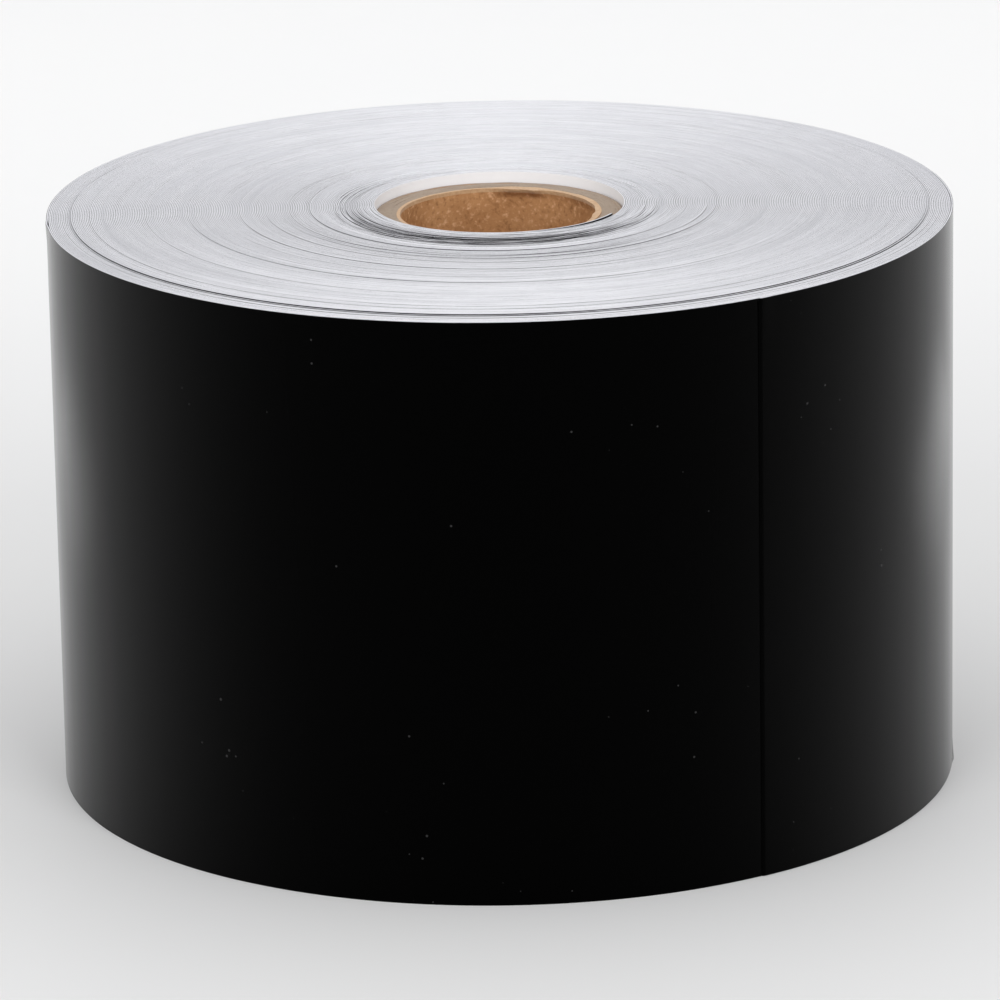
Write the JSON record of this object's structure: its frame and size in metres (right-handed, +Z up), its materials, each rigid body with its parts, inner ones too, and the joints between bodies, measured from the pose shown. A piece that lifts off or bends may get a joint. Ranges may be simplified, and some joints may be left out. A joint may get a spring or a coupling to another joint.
{
  "type": "roll of sign vinyl",
  "caption": "Narrow roll of black self-adhesive sign vinyl on a paper core, wound film side out, with a free end that lifts and a film tip that peels from its liner.",
  "frame": {"origin": "centre of the core's bore, in the plane the roll stands on", "axes": "+Z up along the roll's axis; -Y towards the side the picture was taken from; +X to that side's right"},
  "size_m": [0.1188, 0.1185, 0.0766],
  "materials": {
    "core_kraft": "matte, mottled kraft",
    "core_board": "matte grey board",
    "starter_tape": "matte",
    "wound_edge": "slit edges of many turns, satin",
    "release_liner": "smooth, silicone coated",
    "adhesive": "clear, tacky",
    "vinyl_film": "smooth semi-gloss black"
  },
  "bodies": {
    "roll": {"core_inner_ply": "core_kraft", "core_body_ply_1": "core_board", "core_body_ply_2": "core_board", "core_body_ply_3": "core_board", "core_body_ply_4": "core_board", "core_body_ply_5": "core_board", "core_outer_ply": "core_kraft", "starter_tape": "starter_tape", "first_turn_liner": "release_liner", "first_turn_adhesive": "adhesive", "first_turn_film": "vinyl_film", "inner_turns": "wound_edge", "main_turns": "wound_edge", "low_turns_pack": "wound_edge", "outer_turns_liner": "release_liner", "outer_turns_adhesive": "adhesive", "outer_turns_film": "vinyl_film"},
    "tail_1": {"tail_1_liner": "release_liner", "tail_1_adhesive": "adhesive", "tail_1_film": "vinyl_film"},
    "tail_2": {"tail_2_liner": "release_liner", "tail_2_adhesive": "adhesive", "tail_2_film": "vinyl_film"},
    "tail_3": {"tail_3_liner": "release_liner", "tail_3_adhesive": "adhesive", "tail_3_film": "vinyl_film"},
    "tail_4": {"tail_4_liner": "release_liner", "tail_4_adhesive": "adhesive", "tail_4_film": "vinyl_film"},
    "film_end": {"peel_adhesive": "adhesive", "peel_film": "vinyl_film"}
  },
  "joints": [
    {"name": "tail_lift", "type": "hinge", "parent": "roll", "child": "tail_1", "pos_m": [0.05747, 0.01524, 0.03815], "axis": [0, 0, 1], "range_deg": [0, 30]},
    {"name": "tail_bend_2", "type": "hinge", "parent": "tail_1", "child": "tail_2", "pos_m": [0.05938, -0.00326, 0.03815], "axis": [0, 0, 1], "range_deg": [0, 18]},
    {"name": "tail_bend_3", "type": "hinge", "parent": "tail_2", "child": "tail_3", "pos_m": [0.05548, -0.02144, 0.03815], "axis": [0, 0, 1], "range_deg": [0, 18]},
    {"name": "tail_bend_4", "type": "hinge", "parent": "tail_3", "child": "tail_4", "pos_m": [0.04616, -0.03753, 0.03815], "axis": [0, 0, 1], "range_deg": [0, 18]},
    {"name": "film_peel", "type": "hinge", "parent": "tail_4", "child": "film_end", "pos_m": [0.03898, -0.04501, 0.03815], "axis": [0, 0, 1], "range_deg": [0, 140]}
  ],
  "couplings": [
    {"joint": "tail_bend_2", "follows": "tail_lift", "ratio": 0.6},
    {"joint": "tail_bend_3", "follows": "tail_lift", "ratio": 0.6},
    {"joint": "tail_bend_4", "follows": "tail_lift", "ratio": 0.6}
  ]
}
